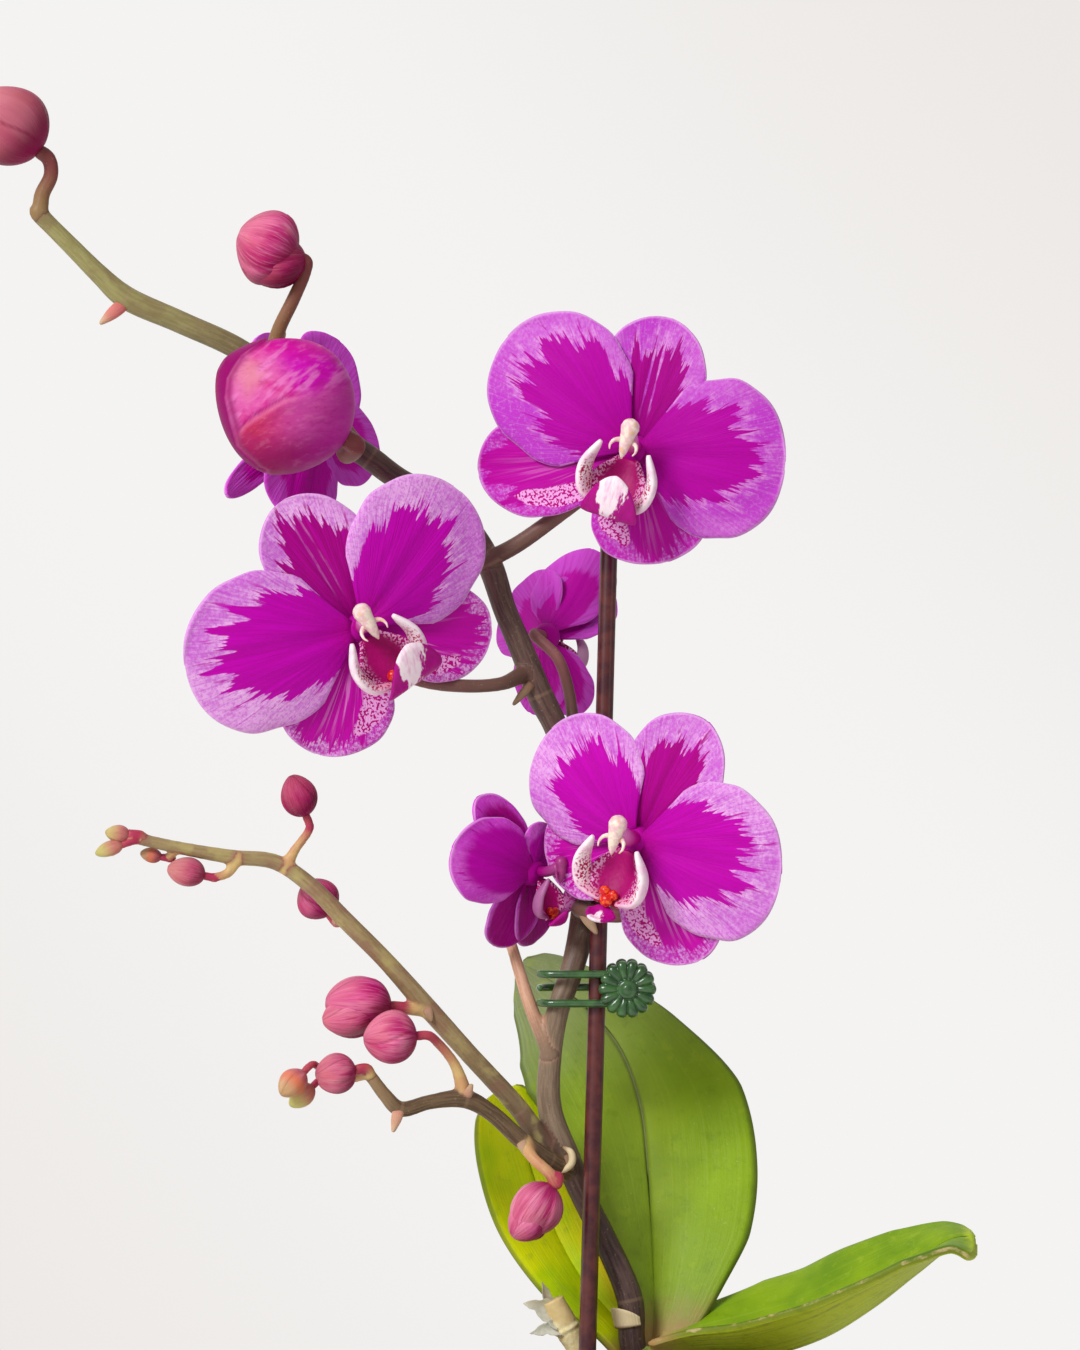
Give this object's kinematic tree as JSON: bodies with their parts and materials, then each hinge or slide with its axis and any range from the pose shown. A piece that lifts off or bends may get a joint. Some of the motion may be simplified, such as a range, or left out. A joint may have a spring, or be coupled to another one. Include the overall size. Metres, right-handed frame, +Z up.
{
  "type": "potted miniature moth orchid",
  "caption": "Miniature moth orchid in a plain pot of bark: magenta flowers and rose buds on a branched spike held to a thin stake by a green daisy clip, with broad green leaves.",
  "frame": {"origin": "middle of the pot's underside", "axes": "+Z up, flowers look towards -Y, the spike arches towards -X"},
  "size_m": [0.1998, 0.092, 0.3342],
  "materials": {
    "pot": "satin",
    "bark": "matte",
    "crown": "matte",
    "leaf": "satin",
    "root": "matte",
    "stump": "matte",
    "spike": "satin",
    "tepal": "satin",
    "lip": "satin",
    "column": "satin",
    "bud": "satin",
    "stake": "satin",
    "clip": "satin",
    "steel": "satin"
  },
  "bodies": {
    "plant": {"bark": "bark", "bud_branch_1": "bud", "bud_branch_2": "bud", "bud_branch_3": "bud", "bud_branch_4": "bud", "bud_branch_5": "bud", "bud_branch_6": "bud", "bud_branch_7": "bud", "bud_end": "bud", "bud_hanging": "bud", "bud_lower_1": "bud", "bud_lower_2": "bud", "bud_lower_3": "bud", "bud_lower_4": "bud", "bud_opening": "bud", "bud_upper": "bud", "clip_front": "clip", "clip_pin": "steel", "clip_spring": "steel", "crown": "crown", "flower_behind_column": "column", "flower_behind_lip": "lip", "flower_behind_tepals": "tepal", "flower_left_column": "column", "flower_left_lip": "lip", "flower_left_tepals": "tepal", "flower_low_column": "column", "flower_low_lip": "lip", "flower_low_tepals": "tepal", "flower_side_column": "column", "flower_side_lip": "lip", "flower_side_tepals": "tepal", "flower_top_column": "column", "flower_top_lip": "lip", "flower_top_tepals": "tepal", "flower_upper_column": "column", "flower_upper_lip": "lip", "flower_upper_tepals": "tepal", "leaf_left": "leaf", "leaf_right": "leaf", "leaf_tall": "leaf", "old_spike_stump": "stump", "pot": "pot", "root_back": "root", "root_front": "root", "root_left": "root", "root_right": "root", "spike": "spike", "stake": "stake"},
    "clip_jaw": {"clip_rear": "clip"}
  },
  "joints": [
    {"name": "clip_hinge", "type": "hinge", "parent": "plant", "child": "clip_jaw", "pos_m": [-0.0002, 0, 0.1548], "axis": [0, 0, -1], "range_deg": [0, 22], "stiffness_Nm_per_rad": 0.0005, "springref_deg": -28.65}
  ]
}
